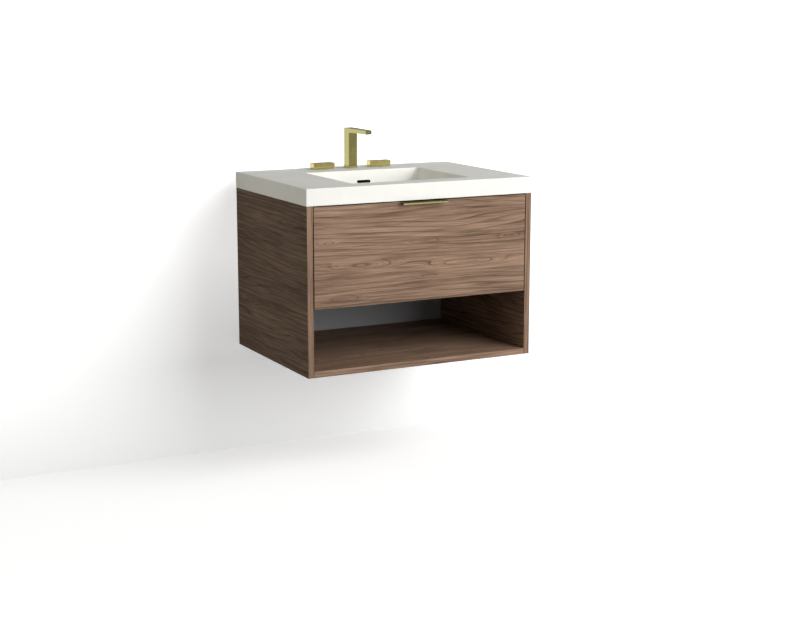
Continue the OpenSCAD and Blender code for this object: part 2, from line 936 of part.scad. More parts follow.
module drain_body() {
    bore_r = drain_bore_d / 2;
    flange_r = drain_flange_d / 2;
    flange_top_z = basin_floor_z + drain_flange_t;
    shoulder_z = drain_tube_z + tail_in + 2;
    color(brass)
    translate([0, basin_y, 0])
    difference() {
        union() {
            difference() {
                union() {
                    translate([0, 0, drain_tube_z])
                        cylinder(d = drain_tube_d, h = flange_top_z - drain_tube_z);
                    translate([0, 0, basin_floor_z]) cylinder(r = flange_r, h = flange_edge_h);
                    translate([0, 0, basin_floor_z + flange_edge_h])
                        cylinder(r1 = flange_r, r2 = flange_r - 2, h = drain_flange_t - flange_edge_h);
                }
                translate([0, 0, shoulder_z]) cylinder(r = bore_r, h = flange_top_z - shoulder_z + cut);
                translate([0, 0, drain_tube_z - cut])
                    cylinder(d = tail_thread_d + 2 * hole_gap, h = shoulder_z - drain_tube_z + 2 * cut);
                translate([0, 0, flange_top_z - seat_cone_h])
                    cylinder(r1 = bore_r, r2 = bore_r + seat_cone_w, h = seat_cone_h);
            }
            for (a = [0, 90]) {
                translate([0, 0, spider_z + spider_h / 2]) rotate([0, 0, a])
                    cube([2 * bore_r + cut, rib_t, spider_h], center = true);
            }
            translate([0, 0, spider_z]) cylinder(d = stem_d + 2 * hub_wall, h = spider_h);
        }
        translate([0, 0, spider_z - cut])
            cylinder(d = stem_d + 2 * running_gap, h = spider_h + 2 * cut);
        for (a = [45, 135]) {
            translate([0, 0, duct_z + duct_gap / 2]) rotate([0, 0, a])
                cube([2 * drain_tube_d, side_slot_w, duct_gap - 2], center = true);
        }
    }
}

// Upright ring between two radii
module tube(r_in, r_out, h) {
    difference() {
        cylinder(r = r_out, h = h);
        translate([0, 0, -cut]) cylinder(r = r_in, h = h + 2 * cut);
    }
}

module drain_gasket() {
    color(rubber_black)
    translate([0, basin_y, boss_z - gasket_t])
        tube(drain_tube_d / 2 + hole_gap, drain_boss_d / 2 - 3, gasket_t);
}

module drain_nut() {
    color(brass)
    translate([0, basin_y, 0])
    difference() {
        hexagon(drain_tube_d + 2 * drain_nut_wall, drain_nut_h, boss_z - gasket_t - drain_nut_h);
        translate([0, 0, boss_z - gasket_t - drain_nut_h - cut])
            cylinder(d = drain_tube_d + 2 * hole_gap, h = drain_nut_h + 2 * cut);
    }
}

// Waste pipe with a threaded end inside the drain tube
module tailpiece() {
    low_z = drain_tube_z - tail_below;
    color(brass)
    translate([0, basin_y, 0])
    difference() {
        union() {
            translate([0, 0, low_z]) cylinder(d = tail_d, h = tail_below + tail_in);
            translate([0, 0, drain_tube_z]) cylinder(d = tail_thread_d, h = tail_in);
        }
        translate([0, 0, low_z - cut])
            cylinder(d = tail_d - 2 * tail_wall, h = tail_below + tail_in + 2 * cut);
    }
}

// Cap with a cone that sinks into the flange, on a stem through the spider
module drain_stopper() {
    cap_z = basin_floor_z + drain_flange_t;
    foot_z = spider_z - stopper_lift - stem_foot;
    rim_r = drain_bore_d / 2 + seat_cone_w - 2 * stopper_gap;
    foot_r = rim_r - cap_cone_h * seat_cone_w / seat_cone_h;
    color(brass)
    translate([0, basin_y, 0]) rotate_extrude() polygon([
        [0, foot_z], [stem_d / 2, foot_z], [stem_d / 2, cap_z - cap_cone_h],
        [foot_r, cap_z - cap_cone_h], [rim_r, cap_z], [rim_r - 1.5, cap_z + 1], [0, cap_z + 1.8]
    ]);
}

module stopper_seal() {
    color(rubber_black)
    translate([0, basin_y, basin_floor_z + drain_flange_t - cap_cone_h - seal_t])
        tube(stem_d / 2 + hole_gap, drain_bore_d / 2 - 0.5, seal_t);
}

// ---- Faucet ----

module spout() {
    side_view = [
        [faucet_y + spout_d / 2, column_z], [faucet_y + spout_d / 2, spout_top_z],
        [tip_y, spout_top_z], [tip_y, spout_top_z - arm_tip_h],
        [column_front_y, spout_top_z - arm_h], [column_front_y, column_z]
    ];
    plan = [
        [-spout_w / 2, faucet_y + spout_d / 2], [-spout_w / 2, column_front_y],
        [-arm_tip_w / 2, tip_y], [arm_tip_w / 2, tip_y],
        [spout_w / 2, column_front_y], [spout_w / 2, faucet_y + spout_d / 2]
    ];
    way_z = spout_top_z - 2.5 - water_d / 2;
    color(brass)
    difference() {
        intersection() {
            translate([-spout_w, 0, 0]) rotate([90, 0, 90])
                linear_extrude(2 * spout_w) polygon(side_view);
            translate([0, 0, column_z - cut]) linear_extrude(spout_h) polygon(plan);
        }
        translate([0, faucet_y, column_z - cut])
            cylinder(d = shank_d + 2 * hole_gap, h = shank_in_spout + cut);
        translate([0, faucet_y, column_z]) cylinder(d = water_d, h = way_z - column_z);
        y_rod(water_d, faucet_y - aerator_y, 0, aerator_y, way_z);
        translate([0, aerator_y, aerator_z - cut])
            cylinder(d = aerator_d + 2 * hole_gap, h = aerator_in + cut);
        translate([0, aerator_y, aerator_z]) cylinder(d = water_d - 1, h = way_z - aerator_z);
    }
}

module spout_base() {
    color(brass)
    difference() {
        translate([0, faucet_y, top_z]) linear_extrude(spout_base_h)
            rounded_rect(spout_w + 2 * spout_base_lip, spout_d + 2 * spout_base_lip, 1);
        translate([0, faucet_y, top_z - cut])
            cylinder(d = shank_d + 2 * hole_gap, h = spout_base_h + 2 * cut);
    }
}

module aerator() {
    color(steel)
    difference() {
        translate([0, aerator_y, aerator_z - aerator_out])
            cylinder(d = aerator_d, h = aerator_in + aerator_out);
        translate([0, aerator_y, aerator_z - aerator_out - cut])
            cylinder(d = aerator_d - 3, h = 2 + cut);
        for (a = [0:60:300]) {
            translate([3 * cos(a), aerator_y + 3 * sin(a), aerator_z - aerator_out])
                cylinder(d = 1.6, h = aerator_in + aerator_out + cut);
        }
    }
}

// Threaded tube that ties the spout to the top
module spout_shank() {
    low_z = slab_z - washer_t - nut_h - shank_below_nut;
    color(brass)
    translate([0, faucet_y, low_z])
        tube(water_d / 2, shank_d / 2, column_z + shank_in_spout - low_z);
}

module faucet_axes() {
    for (x = [-handle_pitch / 2, 0, handle_pitch / 2]) {
        translate([x, faucet_y, 0]) children();
    }
}

module faucet_washers() {
    color(rubber_black)
    for (s = [-1, 0, 1]) {
        translate([s * handle_pitch / 2, faucet_y, slab_z - washer_t])
            tube((s == 0 ? shank_d : valve_d) / 2 + hole_gap, nut_af / 2 - 1, washer_t);
    }
}

module faucet_nuts() {
    low_z = slab_z - washer_t - nut_h;
    color(brass)
    for (s = [-1, 0, 1]) {
        translate([s * handle_pitch / 2, faucet_y, 0])
        difference() {
            hexagon(nut_af, nut_h, low_z);
            translate([0, 0, low_z - cut])
                cylinder(d = (s == 0 ? shank_d : valve_d) + 2 * hole_gap, h = nut_h + 2 * cut);
        }
    }
}

// Valve with its collar in the plinth, an inlet below and an outlet to the spout
module valve_body() {
    low_z = top_z - valve_len;
    stem_hole_z = top_z - stem_in_valve;
    outlet_z = low_z + outlet_d;
    axis_x = handle_pitch / 2;
    outlet_len = valve_d / 2 + outlet_out;
    color(brass)
    difference() {
        union() {
            translate([axis_x, faucet_y, low_z]) cylinder(d = valve_d, h = valve_len - cut);
            translate([axis_x, faucet_y, top_z - 2 * cut])
                cylinder(d = plinth_bore_d - 2 * hole_gap, h = plinth_h + cut);
            translate([axis_x, faucet_y, low_z - inlet_len])
                cylinder(d = inlet_d, h = inlet_len + cut);
            x_rod(outlet_d, outlet_len, axis_x - outlet_len, faucet_y, outlet_z);
        }
        translate([axis_x, faucet_y, stem_hole_z - hole_gap])
            cylinder(d = valve_stem_d + 2 * running_gap, h = stem_in_valve + plinth_h + cut);
        translate([axis_x, faucet_y, low_z - inlet_len - cut])
            cylinder(d = water_d, h = inlet_len + outlet_d + cut);
        x_rod(water_d, outlet_len + cut, axis_x - outlet_len - cut, faucet_y, outlet_z);
    }
}

module valve_body_left() {
    at_left() valve_body();
}

module valve_body_right() {
    valve_body();
}

module valve_stem() {
    color(steel)
    translate([handle_pitch / 2, faucet_y, top_z - stem_in_valve])
        cylinder(d = valve_stem_d, h = stem_in_valve + plinth_h + passing_gap + stem_in_handle);
}

module valve_stem_left() {
    at_left() valve_stem();
}

module valve_stem_right() {
    valve_stem();
}

module handle_plinth() {
    color(brass)
    difference() {
        translate([handle_pitch / 2, faucet_y, top_z]) linear_extrude(plinth_h)
            rounded_rect(handle_w - 2 * plinth_set, handle_d - 2 * plinth_set, handle_corner_r);
        translate([handle_pitch / 2, faucet_y, top_z - cut])
            cylinder(d = plinth_bore_d, h = plinth_h + 2 * cut);
    }
}

module handle_plinth_left() {
    at_left() handle_plinth();
}

module handle_plinth_right() {
    handle_plinth();
}

module handle() {
    color(brass)
    difference() {
        translate([handle_pitch / 2, faucet_y, handle_z]) linear_extrude(handle_h)
            rounded_rect(handle_w, handle_d, handle_corner_r);
        translate([handle_pitch / 2, faucet_y, handle_z - cut])
            cylinder(d = valve_stem_d + 2 * hole_gap, h = stem_in_handle + hole_gap + cut);
    }
}

module handle_left() {
    at_left() handle();
}

module handle_right() {
    handle();
}

side_panel_left();
side_panel_right();
bottom_panel();
deck_panel();
back_panel();
upper_hanging_rail();
lower_hanging_rail();
front_stretcher();
carcass_dowels();
cabinet_rail_left();
cabinet_rail_right();
cabinet_rail_screws();
middle_rail_left();
middle_rail_right();
outer_cage_left();
outer_cage_right();
inner_cage_left();
inner_cage_right();
drawer_rail_left();
drawer_rail_right();
drawer_rail_screws();
drawer_front();
edge_pull();
pull_screws();
drawer_subfront();
front_fixing_screws();
drawer_side_left();
drawer_side_right();
drawer_back_left();
drawer_back_right();
notch_side_left();
notch_side_right();
notch_front();
drawer_bottom();
drawer_dowels();
vanity_top();
drain_body();
drain_gasket();
drain_nut();
tailpiece();
drain_stopper();
stopper_seal();
spout();
spout_base();
aerator();
spout_shank();
faucet_washers();
faucet_nuts();
valve_body_left();
valve_body_right();
valve_stem_left();
valve_stem_right();
handle_plinth_left();
handle_plinth_right();
handle_left();
handle_right();
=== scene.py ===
import math

import bmesh
import bpy
from mathutils import Matrix, Vector


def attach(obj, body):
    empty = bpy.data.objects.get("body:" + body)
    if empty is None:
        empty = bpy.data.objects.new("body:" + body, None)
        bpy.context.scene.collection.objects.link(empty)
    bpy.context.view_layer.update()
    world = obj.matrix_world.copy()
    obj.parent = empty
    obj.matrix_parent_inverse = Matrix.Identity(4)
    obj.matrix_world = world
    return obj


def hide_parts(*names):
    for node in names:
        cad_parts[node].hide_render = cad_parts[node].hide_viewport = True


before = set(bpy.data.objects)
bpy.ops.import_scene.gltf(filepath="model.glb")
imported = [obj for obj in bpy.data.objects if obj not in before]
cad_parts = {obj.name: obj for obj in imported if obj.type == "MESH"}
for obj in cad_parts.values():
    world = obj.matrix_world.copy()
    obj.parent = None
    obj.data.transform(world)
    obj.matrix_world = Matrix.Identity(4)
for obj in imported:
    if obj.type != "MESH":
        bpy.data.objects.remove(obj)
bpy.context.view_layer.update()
mm = 0.001

# Sizes of the vanity, in metres: X along the wall, -Y into the room, Z up
cabinet_half_width = 380 * mm
bay_half_width = 361 * mm
cabinet_front = -546 * mm
cabinet_height = 508 * mm
top_surface = 558.8 * mm
basin_middle = -306 * mm
faucet_line = -48 * mm
handle_reach = 101.6 * mm


# ---- Camera ----

def set_up_camera():
    yaw, pitch, roll = (math.radians(angle) for angle in (27.485, 11.279, 0.083))
    forward = Vector((math.sin(yaw) * math.cos(pitch), math.cos(yaw) * math.cos(pitch), -math.sin(pitch)))
    right = Vector((math.cos(yaw), -math.sin(yaw), 0))
    turned = Matrix((right, right.cross(forward), -forward)).transposed().to_4x4()
    camera = bpy.data.objects.new("camera", bpy.data.cameras.new("camera"))
    bpy.context.scene.collection.objects.link(camera)
    camera.data.lens = 70
    camera.data.sensor_width = 36
    camera.matrix_world = (
        Matrix.Translation((-2.19116, -4.60902, 1.06999)) @ turned @ Matrix.Rotation(roll, 4, "Z")
    )
    bpy.context.scene.camera = camera


set_up_camera()


# ---- Finishes ----

def tint(red, green, blue):
    """A colour given from 0 to 255 in display values, as the shader wants it."""
    def open_up(value):
        value = value / 255
        return value / 12.92 if value <= 0.04045 else ((value + 0.055) / 1.055) ** 2.4
    return (open_up(red), open_up(green), open_up(blue), 1)


def grey(value):
    return (value, value, value, 1)


AXES = {"X": (1, 0, 0), "Y": (0, 1, 0), "Z": (0, 0, 1)}


class Nodes:
    """A node tree under construction: add() makes a node, wire() joins two sockets."""

    def __init__(self, tree):
        self.tree = tree

    def add(self, kind, **settings):
        node = self.tree.nodes.new("ShaderNode" + kind)
        for key, value in settings.items():
            setattr(node, key, value)
        return node

    def wire(self, start, end):
        self.tree.links.new(start, end)

    def feed(self, sockets, values):
        """Joins each socket to another node's output, or sets it to a plain value."""
        for socket, value in zip(sockets, values):
            if isinstance(value, bpy.types.NodeSocket):
                self.wire(value, socket)
            else:
                socket.default_value = value

    def split(self, vector):
        node = self.add("SeparateXYZ")
        self.wire(vector, node.inputs[0])
        return node.outputs

    def stretched(self, vector, stretch):
        node = self.add("VectorMath", operation="MULTIPLY")
        self.feed(node.inputs, (vector, stretch))
        return node.outputs["Vector"]

    def span(self, value, low, high, first, last):
        """Turns a value that runs from low to high into one that runs from first to last."""
        node = self.add("MapRange")
        names = ("Value", "From Min", "From Max", "To Min", "To Max")
        self.feed([node.inputs[name] for name in names], (value, low, high, first, last))
        return node.outputs["Result"]

    def math(self, operation, first, second=0.0, third=0.0):
        node = self.add("Math", operation=operation)
        self.feed(node.inputs, (first, second, third))
        return node.outputs["Value"]

    def summed(self, first, second):
        node = self.add("AddShader")
        self.feed(node.inputs, (first, second))
        return node.outputs[0]

    def mixed(self, factor, first, second):
        """The first shader where factor is 0, and the second where it is 1."""
        node = self.add("MixShader")
        self.feed(node.inputs, (factor, first, second))
        return node.outputs[0]

    def lit(self, kind, strength):
        """A white Emission or Background of the given strength."""
        node = self.add(kind)
        self.feed((node.inputs["Color"], node.inputs["Strength"]), (grey(1), strength))
        return node.outputs[0]


class Finish(Nodes):
    """A material, built round its principled shader."""

    def __init__(self, name):
        self.material = bpy.data.materials.new(name)
        self.material.use_nodes = True
        super().__init__(self.material.node_tree)
        self.shader = self.tree.nodes["Principled BSDF"]

    def set(self, **values):
        for key, value in values.items():
            self.shader.inputs[key.replace("_", " ")].default_value = value

    def place(self, along="X", across="Y", shift=(0, 0, 0)):
        """Object coordinates, turned so that the two named axes come first, then shifted."""
        first, second = Vector(AXES[along]), Vector(AXES[across])
        turn = self.add("Mapping")
        turn.inputs["Location"].default_value = shift
        turn.inputs["Rotation"].default_value = Matrix((first, second, first.cross(second))).to_euler("XYZ")
        self.wire(self.add("TexCoord").outputs["Object"], turn.inputs["Vector"])
        return turn.outputs["Vector"]

    def noise(self, vector, scale, detail=2.0, rough=0.5, warp=0.0):
        """Noise at one scale, or at three scales for a pattern that is longer one way than the other."""
        if isinstance(scale, tuple):
            vector, scale = self.stretched(vector, scale), 1.0
        node = self.add("TexNoise")
        names = ("Vector", "Scale", "Detail", "Roughness", "Distortion")
        self.feed([node.inputs[name] for name in names], (vector, scale, detail, rough, warp))
        return node.outputs["Fac"]

    def hump(self, place, centre, half):
        """1 in the middle of an ellipse that lies along the first two axes, easing to 0 at its rim."""
        offset = self.add("VectorMath", operation="MULTIPLY_ADD")
        self.feed(offset.inputs, (
            place, (1 / half[0], 1 / half[1], 0), (-centre[0] / half[0], -centre[1] / half[1], 0),
        ))
        square = self.add("VectorMath", operation="DOT_PRODUCT")
        self.feed(square.inputs, (offset.outputs["Vector"], offset.outputs["Vector"]))
        inside = self.math("MAXIMUM", self.math("SUBTRACT", 1.0, square.outputs["Value"]), 0.0)
        return self.math("MULTIPLY", inside, inside)

    def ramp(self, factor, *stops):
        node = self.add("ValToRGB")
        row = node.color_ramp.elements
        while len(row) < len(stops):
            row.new(0.5)
        for element, (position, colour) in zip(row, stops):
            element.position = position
            element.color = colour
        self.wire(factor, node.inputs["Fac"])
        return node.outputs["Color"]

    def blend(self, factor, first, second):
        node = self.add("Mix", data_type="RGBA")
        self.feed((node.inputs[0], node.inputs[6], node.inputs[7]), (factor, first, second))
        return node.outputs[2]

    def coat(self, colour, grain, change, start):
        """Wires the colour, and a roughness that runs from start and changes with the grain."""
        self.wire(colour, self.shader.inputs["Base Color"])
        self.wire(self.math("MULTIPLY_ADD", grain, change, start), self.shader.inputs["Roughness"])

    def relief(self, height, depth, strength=0.3):
        node = self.add("Bump")
        names = ("Strength", "Distance", "Height")
        self.feed([node.inputs[name] for name in names], (strength, depth, height))
        self.wire(node.outputs["Normal"], self.shader.inputs["Normal"])


def scattered_eyes(finish, place, rise):
    """How many growth lines the wood climbs, at eyes that fall at random."""
    knots = finish.add("TexVoronoi", feature="SMOOTH_F1")
    knots.inputs["Scale"].default_value = 1.0
    knots.inputs["Smoothness"].default_value = 0.3
    finish.wire(finish.stretched(place, (3.1, 12.5, 12.5)), knots.inputs["Vector"])
    eye = finish.math("MAXIMUM", finish.math("MULTIPLY_ADD", knots.outputs["Distance"], -2.5, 1.0), 0.0)
    return finish.math("MULTIPLY", finish.math("MULTIPLY", eye, eye), rise)


def placed_eyes(finish, place, shift, eyes):
    """The same for eyes at given points, and how near the surface is to the middle of one, from 0 to 1."""
    lift = near = 0.0
    for along, across, half_length, half_width, rise in eyes:
        hump = finish.hump(place, (along * mm + shift[0], across * mm + shift[1]),
                           (half_length * mm, half_width * mm))
        lift = finish.math("MULTIPLY_ADD", hump, rise, lift)
        near = finish.math("MAXIMUM", hump, near)
    return lift, near


def walnut(name, along, across, shift, depth=1.0, flow=1.0, gloss=0.14, eyes=()):
    """Flat-sawn walnut veneer: flowing growth lines with eyes, fibre streaks and short pores.

    depth scales the wood's colour: below 1 it is painted shade, as on the left side panel, and the front's
    1.015 lightens it a little.
    flow is how far the growth lines stray from straight, and gloss is the coat's sheen. eyes lists placed
    eyes, each as (along, across, half length, half width) in millimetres and its rise in growth lines.
    Without it they fall at random.
    """
    def wood_tint(red, green, blue):
        return tint(red * depth, green * depth, blue * depth)

    lines_per_metre = 58
    finish = Finish(name)
    place = finish.place(along, across, shift)
    sway = finish.noise(place, (1.25, 9.0, 9.0), detail=2.5, rough=0.45, warp=0.2)
    if eyes:
        drift, patch, ink = 6.0, (3, 36, 36), 0.62
        lift, near = placed_eyes(finish, place, shift, eyes)
    else:
        drift, patch, ink = 8.0 * flow, (6, 42, 42), 0.64
        lift = scattered_eyes(finish, place, 2.6 * flow)
    climb = finish.math("MULTIPLY_ADD", finish.split(place)["Y"], lines_per_metre,
                        finish.math("MULTIPLY_ADD", sway, drift, lift))
    line = finish.ramp(finish.math("FRACT", climb),
                       (0.0, grey(0.10)), (0.45, grey(0.0)), (0.72, grey(0.25)),
                       (0.90, grey(1.0)), (0.96, grey(0.9)), (1.0, grey(0.10)))
    thread = finish.ramp(finish.math("FRACT", finish.math("MULTIPLY", climb, 3.0)),
                         (0.0, grey(0.0)), (0.5, grey(0.0)), (0.85, grey(1.0)), (1.0, grey(0.0)))
    weight = finish.math("MULTIPLY_ADD", finish.noise(place, patch, detail=3, rough=0.6), 3.6, -1.0)
    weight = finish.math("MINIMUM", finish.math("MAXIMUM", weight, 0.12), 1.0)
    if eyes:
        near = finish.math("MINIMUM", finish.math("MULTIPLY", near, 1.4), 0.9)
        weight = finish.math("MAXIMUM", weight, near)
    line = finish.math("MULTIPLY", finish.math("MULTIPLY_ADD", thread, 0.38, line), weight)
    fibre = finish.noise(place, (6, 170, 170), detail=5, rough=0.65)
    cloud = finish.noise(place, (2.6, 24, 24), detail=4, rough=0.6, warp=0.4)
    pores = finish.noise(place, (55, 1500, 1500))
    pores = finish.ramp(pores, (0.60, grey(0)), (0.72, grey(1)))
    shade = finish.math("MULTIPLY_ADD", fibre, 0.75, finish.math("MULTIPLY", cloud, 0.5))
    wood = finish.ramp(shade, (0.45, wood_tint(98, 78, 64)), (0.58, wood_tint(132, 107, 89)),
                       (0.70, wood_tint(151, 124, 104)), (0.88, wood_tint(176, 147, 124)))
    wood = finish.blend(finish.math("MULTIPLY", line, ink), wood, wood_tint(78, 61, 49))
    wood = finish.blend(finish.math("MULTIPLY", pores, 0.22), wood, wood_tint(70, 56, 48))
    finish.coat(wood, fibre, -0.16, 0.62)
    finish.set(Specular_IOR_Level=gloss)
    finish.relief(finish.math("SUBTRACT", fibre, pores), 0.12 * mm, 0.35)
    return finish.material


def satin_brass(name, light, deep):
    """Brushed brass, its fine strokes drawn level."""
    finish = Finish(name)
    place = finish.place()
    drift = finish.noise(place, (30, 30, 30), detail=3)
    strokes = finish.noise(place, (160, 160, 2600))
    finish.coat(finish.blend(drift, light, deep), strokes, 0.08, 0.13)
    finish.set(Metallic=1.0)
    finish.relief(strokes, 0.02 * mm, 0.25)
    return finish.material


def solid_white():
    """Cast mineral top: soft white with a faint cloud and a satin skin."""
    finish = Finish("solid_white")
    place = finish.place()
    cloud = finish.noise(place, 9, detail=4, rough=0.55)
    speck = finish.noise(place, 900, detail=1)
    colour = finish.ramp(finish.math("MULTIPLY_ADD", speck, 0.2, finish.math("MULTIPLY", cloud, 0.8)),
                         (0.35, tint(234, 233, 227)), (0.65, tint(241, 240, 234)))
    finish.coat(colour, cloud, 0.10, 0.47)
    finish.set(Specular_IOR_Level=0.35)
    finish.relief(speck, 0.01 * mm, 0.1)
    return finish.material


def birch_ply(name, along, layers, shift):
    """Clear-coated birch plywood: pale face grain, with the glued layers on its cut edges."""
    layer_thickness = 1.5 * mm
    finish = Finish(name)
    place = finish.place(along, layers, shift)
    face = finish.noise(place, (3, 9, 60), detail=4, rough=0.55, warp=0.3)
    fine = finish.noise(place, (20, 90, 700))
    colour = finish.ramp(finish.math("MULTIPLY_ADD", fine, 0.3, finish.math("MULTIPLY", face, 0.7)),
                         (0.35, tint(205, 174, 132)), (0.65, tint(228, 203, 164)))
    layer = finish.math("PINGPONG", finish.split(place)["Y"], layer_thickness)
    seam = finish.ramp(finish.math("MULTIPLY", layer, 1 / layer_thickness),
                       (0.30, grey(0)), (0.55, grey(1)), (0.80, grey(1)), (0.92, grey(0.2)))
    colour = finish.blend(finish.math("MULTIPLY", seam, 0.35), colour, tint(160, 122, 82))
    finish.coat(colour, fine, 0.15, 0.42)
    finish.relief(fine, 0.08 * mm)
    return finish.material


def beech():
    """Beech dowels, their grain along the wall."""
    finish = Finish("beech")
    grain = finish.noise(finish.place(), (8, 300, 300), detail=3)
    colour = finish.ramp(grain, (0.35, tint(190, 146, 102)), (0.65, tint(216, 178, 134)))
    finish.coat(colour, grain, 0.2, 0.5)
    finish.relief(grain, 0.1 * mm)
    return finish.material


def plated_steel(name, colour, rough, stretch):
    """Zinc-plated sheet: drawn marks along one way and a cloudy plating."""
    finish = Finish(name)
    place = finish.place()
    drawn = finish.noise(place, stretch, detail=3)
    cloud = finish.noise(place, 35, detail=4)
    deep, light = (tint(*(part + change for part in colour)) for change in (-12, 10))
    finish.coat(finish.blend(cloud, deep, light), drawn, 0.16, rough)
    finish.set(Metallic=1.0)
    finish.relief(drawn, 0.03 * mm, 0.25)
    return finish.material


def grey_board():
    """Dark grey melamine with a fine pebbled skin."""
    finish = Finish("grey_board")
    place = finish.place()
    pebble = finish.noise(place, 1400)
    cloud = finish.noise(place, 5)
    finish.coat(finish.blend(cloud, tint(159, 161, 163), tint(165, 167, 169)), pebble, 0.15, 0.6)
    finish.set(Specular_IOR_Level=0.3)
    finish.relief(pebble, 0.04 * mm, 0.2)
    return finish.material


def black_rubber():
    finish = Finish("black_rubber")
    grain = finish.noise(finish.place(), 1200)
    finish.coat(finish.blend(grain, tint(24, 24, 24), tint(38, 38, 38)), grain, 0.2, 0.6)
    finish.relief(grain, 0.05 * mm)
    return finish.material


def soft_black(name, low, high):
    """A near-black skin with hardly any sheen, used here only as painted shade."""
    finish = Finish(name)
    grain = finish.noise(finish.place(), 700, detail=3)
    finish.coat(finish.blend(grain, low, high), grain, 0.2, 0.5)
    finish.set(Specular_IOR_Level=0.2)
    finish.relief(grain, 0.03 * mm, 0.2)
    return finish.material


brass = satin_brass("satin_brass", tint(212, 204, 134), tint(204, 195, 127))
# A lighter copy of the same brass for the handles and the pull: painted light.
painted_light_brass = satin_brass("painted_light_brass", tint(236, 222, 149), tint(230, 214, 142))
# Near-black for the pull's upper plate: painted shade, in place of the dark gap under the top's front edge.
painted_shade_brass = soft_black("painted_shade_brass", tint(26, 23, 13), tint(34, 30, 18))
# Near-black inside the overflow's slot and duct: painted shade.
duct_painted_shade = soft_black("overflow_painted_shade", tint(20, 20, 19), tint(28, 28, 27))
white = solid_white()
steel = plated_steel("plated_steel", (198, 200, 203), 0.26, (900, 12, 900))
screw_steel = plated_steel("screw_steel", (190, 192, 196), 0.28, (700, 700, 700))
zinc = plated_steel("yellow_zinc", (206, 190, 138), 0.30, (700, 20, 700))
rubber = black_rubber()
peg_wood = beech()
bay_back = grey_board()
side_walnut = {
    # The left side's wood is darker, at 0.82: painted shade on that side panel.
    "left": walnut("walnut_side_left_painted_shade", "Y", "Z", (0.31, 0.12, 0.0), depth=0.82, gloss=0.03),
    "right": walnut("walnut_side_right", "Y", "Z", (1.73, 0.55, 0.2), gloss=0.03),
}
edge_walnut = {
    "left": walnut("walnut_edge_left", "Z", "X", (0.4, 0.3, 0.0), flow=0.35),
    "right": walnut("walnut_edge_right", "Z", "X", (2.1, 0.9, 0.4), flow=0.35),
}
level_edge_walnut = walnut("walnut_level_edge", "X", "Z", (1.3, 0.8, 0.3), flow=0.25)
shelf_walnut = walnut("walnut_shelf", "X", "Y", (0.9, 0.4, 0.1))
deck_walnut = walnut("walnut_deck", "X", "Y", (3.3, 1.4, 0.7))
# Eyes of the drawer front: along, up, half length and half width in millimetres, then rise in growth lines
FRONT_EYES = (
    (-312, 396, 42, 11, 1.5),
    (0, 382, 78, 12, 1.6),
    (299, 381, 54, 10, 1.6),
    (-205, 322, 185, 22, 2.3),
    (160, 307, 185, 22, 2.3),
    (20, 276, 54, 11, 1.5),
    (-258, 225, 90, 16, 1.8),
)
front_walnut = walnut("walnut_front", "X", "Z", (5.2, 0.35, 0.6), depth=1.015, eyes=FRONT_EYES)


# ---- Modelling helpers ----

def soften(mesh, angle=32):
    """Shades the mesh smooth across every edge that turns less than the angle, in degrees."""
    mesh.shade_smooth()
    mesh.set_sharp_from_angle(angle=math.radians(angle))


def finish_piece(name, shape, *finishes):
    """Turns a bmesh into a shaded piece that sits at the origin."""
    bmesh.ops.recalc_face_normals(shape, faces=shape.faces)
    mesh = bpy.data.meshes.new(name)
    shape.to_mesh(mesh)
    shape.free()
    for finish in finishes:
        mesh.materials.append(finish)
    soften(mesh)
    piece = bpy.data.objects.new(name, mesh)
    bpy.context.scene.collection.objects.link(piece)
    return piece


def flatten_shading(piece):
    """Keeps wide faces flat in the light, and lets only the eased edges turn."""
    even = piece.modifiers.new("even_light", "WEIGHTED_NORMAL")
    even.keep_sharp = True
    even.weight = 60


def block(low, high):
    """A bmesh box between two corners, given in metres."""
    low, high = Vector(low), Vector(high)
    shape = bmesh.new()
    size = high - low
    bmesh.ops.create_cube(
        shape, size=1, matrix=Matrix.Translation((low + high) / 2) @ Matrix.Diagonal((*size, 1))
    )
    return shape


def sharp_edges(shape, angle=25):
    return [e for e in shape.edges if e.is_manifold and e.calc_face_angle(0) > math.radians(angle)]


def ease(shape, width, segments=2, edges=None):
    """Rounds the sharp edges over, as sanding or polishing does."""
    bmesh.ops.bevel(
        shape, geom=edges or sharp_edges(shape), offset=width, segments=segments,
        profile=0.5, affect="EDGES", material=-1, clamp_overlap=True,
    )


def saw(shape, point, normal):
    """Cuts the faces along a plane and keeps both sides."""
    bmesh.ops.bisect_plane(
        shape, geom=shape.verts[:] + shape.edges[:] + shape.faces[:],
        dist=1e-7, plane_co=point, plane_no=normal,
    )


def pull_out(shape, faces, move):
    """Extrudes a patch of faces and moves it. A loose sheet keeps its first face as the far end."""
    loose = any(len(edge.link_faces) == 1 for face in faces for edge in face.edges)
    made = bmesh.ops.extrude_face_region(shape, geom=faces)["geom"]
    bmesh.ops.translate(shape, vec=move, verts=[v for v in made if isinstance(v, bmesh.types.BMVert)])
    if not loose:
        bmesh.ops.delete(shape, geom=faces, context="FACES")
    return [f for f in made if isinstance(f, bmesh.types.BMFace)]


def tidy_flats(shape):
    bmesh.ops.remove_doubles(shape, verts=shape.verts, dist=1e-6)
    bmesh.ops.dissolve_limit(shape, angle_limit=math.radians(0.5), verts=shape.verts, edges=shape.edges)


def carve(piece, tool, operation="DIFFERENCE"):
    """Cuts or joins one piece with another shape, and drops the shape."""
    cut = piece.modifiers.new("cut", "BOOLEAN")
    cut.object = tool
    cut.operation = operation
    cut.solver = "EXACT"
    bpy.context.view_layer.update()
    view = bpy.context.evaluated_depsgraph_get()
    mesh = bpy.data.meshes.new_from_object(piece.evaluated_get(view))
    piece.modifiers.clear()
    mesh.name = piece.name
    piece.data = mesh
    bpy.data.objects.remove(tool)


